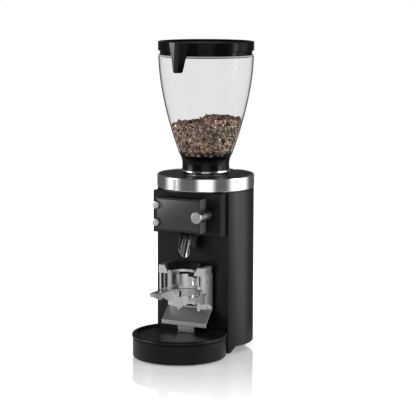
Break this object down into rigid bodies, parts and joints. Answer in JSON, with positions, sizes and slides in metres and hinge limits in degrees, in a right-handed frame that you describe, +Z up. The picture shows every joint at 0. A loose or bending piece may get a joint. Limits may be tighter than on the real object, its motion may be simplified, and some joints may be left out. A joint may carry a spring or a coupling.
{
  "type": "burr coffee grinder",
  "caption": "On-demand espresso grinder with clear bell hopper, chrome adjusting ring, display housing, spout, portafilter holder on a scale and round tray base.",
  "frame": {"origin": "centre of the footprint box, on the surface that the feet stand on", "axes": "+Z up along the casing, front with the display and holder towards -Y, +X to the right seen from the front"},
  "size_m": [0.195, 0.3, 0.6188],
  "materials": {
    "satin_black": "satin black powder coat",
    "base_black": "black coated casting",
    "black_plastic": "fine grained",
    "gloss_black": "gloss",
    "screen": "polished",
    "chrome": "polished",
    "dark_disc": "anodised satin",
    "steel": "polished and brushed",
    "aluminium": "satin",
    "iron": "laminated",
    "rubber": "matte",
    "clear": "clear",
    "board": "circuit board",
    "white_plastic": "smooth",
    "red_plastic": "gloss",
    "beans": "roasted coffee beans"
  },
  "bodies": {
    "housing": {"bottom_cover": "base_black", "rubber_feet": "rubber", "base_screws": "steel", "base_casting": "base_black", "load_cell": "aluminium", "scale_post": "steel", "body_floor": "satin_black", "body_shell": "satin_black", "rear_panel": "satin_black", "power_inlet": "black_plastic", "switch_frame": "black_plastic", "control_board": "board", "run_capacitor": "white_plastic", "top_plate": "base_black", "grind_chamber": "aluminium", "motor_stator": "iron", "motor_bells": "aluminium", "motor_posts": "steel", "bearings": "steel", "control_housing": "satin_black", "display_frame": "gloss_black", "display_glass": "screen", "display_boards": "board", "encoder_body": "aluminium", "chute_block": "black_plastic", "spout_guard": "black_plastic", "spout_tube": "steel", "scale_bracket": "steel", "cradle": "steel", "holder_top": "steel", "funnel_guide": "black_plastic", "rest_pad": "rubber"},
    "tray": {"drip_tray": "black_plastic"},
    "fork": {"portafilter_fork": "steel"},
    "rotor": {"rotor_shaft": "steel", "rotor_core": "iron", "cooling_fan": "black_plastic", "lower_burr_carrier": "aluminium", "lower_burr": "steel", "lower_burr_screws": "steel"},
    "ring": {"adjust_ring": "aluminium", "ring_lug": "chrome", "ring_cover": "dark_disc"},
    "carrier": {"upper_burr_carrier": "aluminium", "upper_burr": "steel", "upper_burr_screws": "steel", "hopper_collar": "chrome"},
    "hopper": {"hopper_neck": "gloss_black", "bell_ring": "black_plastic", "hopper_bell": "clear", "coffee_beans": "beans"},
    "gate": {"gate_slide": "gloss_black"},
    "lid_group": {"lid": "gloss_black", "lid_tongue": "gloss_black", "lid_seal": "rubber"},
    "upper_button": {"button_upper": "aluminium"},
    "lower_button": {"button_lower": "aluminium"},
    "encoder": {"encoder_sleeve": "aluminium"},
    "knob_body": {"knob": "aluminium"},
    "rocker": {"switch_rocker": "red_plastic"}
  },
  "joints": [
    {"name": "tray_slide", "type": "slide", "parent": "housing", "child": "tray", "axis": [0, -1, 0], "range_m": [0, 0.12]},
    {"name": "fork_height", "type": "slide", "parent": "housing", "child": "fork", "axis": [0, 0, 1], "range_m": [-0.012, 0]},
    {"name": "rotor_spin", "type": "hinge", "parent": "housing", "child": "rotor", "pos_m": [0, 0.0525, 0.14], "axis": [0, 0, 1], "continuous": true},
    {"name": "ring_turn", "type": "hinge", "parent": "housing", "child": "ring", "pos_m": [0, 0.0525, 0.34], "axis": [0, 0, 1], "range_deg": [-90, 270]},
    {"name": "carrier_travel", "type": "slide", "parent": "housing", "child": "carrier", "axis": [0, 0, 1], "range_m": [-0.0005, 0.0013]},
    {"name": "hopper_lift", "type": "slide", "parent": "carrier", "child": "hopper", "axis": [0, 0, 1], "range_m": [0, 0.06]},
    {"name": "gate_pull", "type": "slide", "parent": "hopper", "child": "gate", "axis": [0, 1, 0], "range_m": [0, 0.046]},
    {"name": "lid_lift", "type": "slide", "parent": "hopper", "child": "lid_group", "axis": [0, 0, 1], "range_m": [0, 0.08]},
    {"name": "upper_button_press", "type": "slide", "parent": "housing", "child": "upper_button", "axis": [0, 1, 0], "range_m": [0, 0.0015], "stiffness_N_per_m": 400, "springref_m": -0.002},
    {"name": "lower_button_press", "type": "slide", "parent": "housing", "child": "lower_button", "axis": [0, 1, 0], "range_m": [0, 0.0015], "stiffness_N_per_m": 400, "springref_m": -0.002},
    {"name": "knob_turn", "type": "hinge", "parent": "housing", "child": "encoder", "pos_m": [0.049, -0.0375, 0.283], "axis": [0, 1, 0], "continuous": true},
    {"name": "knob_press", "type": "slide", "parent": "encoder", "child": "knob_body", "axis": [0, 1, 0], "range_m": [0, 0.0015], "stiffness_N_per_m": 600, "springref_m": -0.002},
    {"name": "switch_tilt", "type": "hinge", "parent": "housing", "child": "rocker", "pos_m": [0.014, 0.1355, 0.044], "axis": [1, 0, 0], "range_deg": [0, 24]}
  ],
  "couplings": [
    {"joint": "carrier_travel", "follows": "ring_turn", "m_per_rad": 0.00023873}
  ]
}
